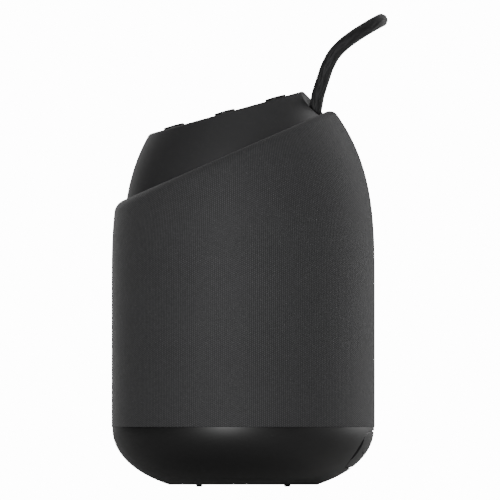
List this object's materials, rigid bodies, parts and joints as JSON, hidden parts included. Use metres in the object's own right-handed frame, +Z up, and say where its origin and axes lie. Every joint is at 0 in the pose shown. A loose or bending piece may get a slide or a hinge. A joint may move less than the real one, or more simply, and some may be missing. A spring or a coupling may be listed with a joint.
{
  "type": "portable waterproof speaker",
  "caption": "Bullet-shaped shower speaker in a fabric sleeve, with a sloping key deck, a round hanging cord and a covered port at the back.",
  "frame": {"origin": "on the surface it stands on, under the middle of the body", "axes": "+Z up, -Y the front at the low side of the key deck, +Y the back with the strap and the port cover"},
  "size_m": [0.088, 0.0923, 0.1581],
  "materials": {
    "cup_plastic": "satin soft-touch",
    "foot_rubber": "matt",
    "cover_rubber": "matt",
    "seal_rubber": "matt",
    "screw_steel": "zinc plated",
    "sleeve_fabric": "woven acoustic cloth",
    "cage_plastic": "moulded",
    "chassis_plastic": "moulded",
    "cell_wrap": "shrink wrap",
    "lead_red": "insulation",
    "cable_black": "insulation",
    "board_green": "solder mask",
    "shield_steel": "tinned",
    "chip_black": "moulded",
    "cap_plastic": "satin soft-touch",
    "mat_silicone": "matt silicone",
    "key_silicone": "matt silicone",
    "stem_plastic": "moulded",
    "led_white": "clear",
    "pipe_clear": "clear acrylic",
    "strap_cord": "braided cord",
    "frame_paint": "powder coat",
    "magnet_steel": "zinc plated",
    "coil_copper": "enamelled copper",
    "cone_paper": "coated paper",
    "surround_rubber": "matt",
    "spider_cloth": "resin-dipped cloth",
    "plate_aluminium": "brushed"
  },
  "bodies": {
    "housing": {"base_cup": "cup_plastic", "feet": "foot_rubber", "base_seal": "seal_rubber", "housing_screws": "screw_steel", "fabric_sleeve": "sleeve_fabric", "grille_cage": "cage_plastic", "chassis": "chassis_plastic", "chassis_lid": "chassis_plastic", "chassis_gaskets": "seal_rubber", "chassis_screws": "screw_steel", "driver_gaskets": "seal_rubber", "right_basket": "frame_paint", "right_magnet": "magnet_steel", "right_surround": "surround_rubber", "right_spider": "spider_cloth", "left_basket": "frame_paint", "left_magnet": "magnet_steel", "left_surround": "surround_rubber", "left_spider": "spider_cloth", "front_radiator_frame": "frame_paint", "front_radiator_surround": "surround_rubber", "rear_radiator_frame": "frame_paint", "rear_radiator_surround": "surround_rubber", "battery_cradle": "cage_plastic", "battery": "cell_wrap", "speaker_leads": "lead_red", "battery_leads": "lead_red", "key_cable": "cable_black", "main_board": "board_green", "board_screws": "screw_steel", "radio_shield": "shield_steel", "board_chips": "chip_black", "usb_socket": "shield_steel", "aux_jack": "chip_black", "top_cap": "cap_plastic", "key_mat": "mat_silicone", "key_switches": "chip_black", "key_board": "board_green", "status_led": "led_white", "light_pipe": "pipe_clear", "strap_ends": "strap_cord", "strap_ferrules": "screw_steel"},
    "port_cover": {"port_cover": "cover_rubber"},
    "strap": {"strap": "strap_cord"},
    "key_volume_down": {"key_volume_down": "key_silicone", "stem_volume_down": "stem_plastic"},
    "key_play": {"key_play": "key_silicone", "stem_play": "stem_plastic"},
    "key_volume_up": {"key_volume_up": "key_silicone", "stem_volume_up": "stem_plastic"},
    "key_power": {"key_power": "key_silicone", "stem_power": "stem_plastic"},
    "key_link": {"key_link": "key_silicone", "stem_link": "stem_plastic"},
    "left_cone": {"left_cone": "cone_paper", "left_voice_coil": "coil_copper"},
    "right_cone": {"right_cone": "cone_paper", "right_voice_coil": "coil_copper"},
    "front_radiator": {"front_radiator_plate": "plate_aluminium"},
    "rear_radiator": {"rear_radiator_plate": "plate_aluminium"}
  },
  "joints": [
    {"name": "key_volume_down_press", "type": "slide", "parent": "housing", "child": "key_volume_down", "axis": [0, 0.2689, -0.9632], "range_m": [0, 0.00035], "stiffness_N_per_m": 1500},
    {"name": "key_play_press", "type": "slide", "parent": "housing", "child": "key_play", "axis": [0, 0.2689, -0.9632], "range_m": [0, 0.00035], "stiffness_N_per_m": 1500},
    {"name": "key_volume_up_press", "type": "slide", "parent": "housing", "child": "key_volume_up", "axis": [0, 0.2689, -0.9632], "range_m": [0, 0.00035], "stiffness_N_per_m": 1500},
    {"name": "key_power_press", "type": "slide", "parent": "housing", "child": "key_power", "axis": [0, 0.2689, -0.9632], "range_m": [0, 0.00035], "stiffness_N_per_m": 1500},
    {"name": "key_link_press", "type": "slide", "parent": "housing", "child": "key_link", "axis": [0, 0.2689, -0.9632], "range_m": [0, 0.00035], "stiffness_N_per_m": 1500},
    {"name": "port_cover_hinge", "type": "hinge", "parent": "housing", "child": "port_cover", "pos_m": [-0.01672, 0.03762, 0.0129], "axis": [-0.2008, 0.4519, 0.8692], "range_deg": [0, 95], "stiffness_Nm_per_rad": 0.004},
    {"name": "strap_swing", "type": "hinge", "parent": "housing", "child": "strap", "pos_m": [0, 0.0243, 0.1272], "axis": [-1, 0, 0], "range_deg": [-25, 45], "stiffness_Nm_per_rad": 0.03},
    {"name": "right_cone_stroke", "type": "slide", "parent": "housing", "child": "right_cone", "axis": [1, 0, 0], "range_m": [-0.0012, 0.0012], "stiffness_N_per_m": 1500, "deforming": ["right_surround", "right_spider"]},
    {"name": "left_cone_stroke", "type": "slide", "parent": "housing", "child": "left_cone", "axis": [-1, 0, 0], "range_m": [-0.0012, 0.0012], "stiffness_N_per_m": 1500, "deforming": ["left_surround", "left_spider"]},
    {"name": "front_radiator_stroke", "type": "slide", "parent": "housing", "child": "front_radiator", "axis": [0, -1, 0], "range_m": [-0.0015, 0.0015], "stiffness_N_per_m": 1200, "deforming": ["front_radiator_surround"]},
    {"name": "rear_radiator_stroke", "type": "slide", "parent": "housing", "child": "rear_radiator", "axis": [0, 1, 0], "range_m": [-0.0015, 0.0015], "stiffness_N_per_m": 1200, "deforming": ["rear_radiator_surround"]}
  ]
}
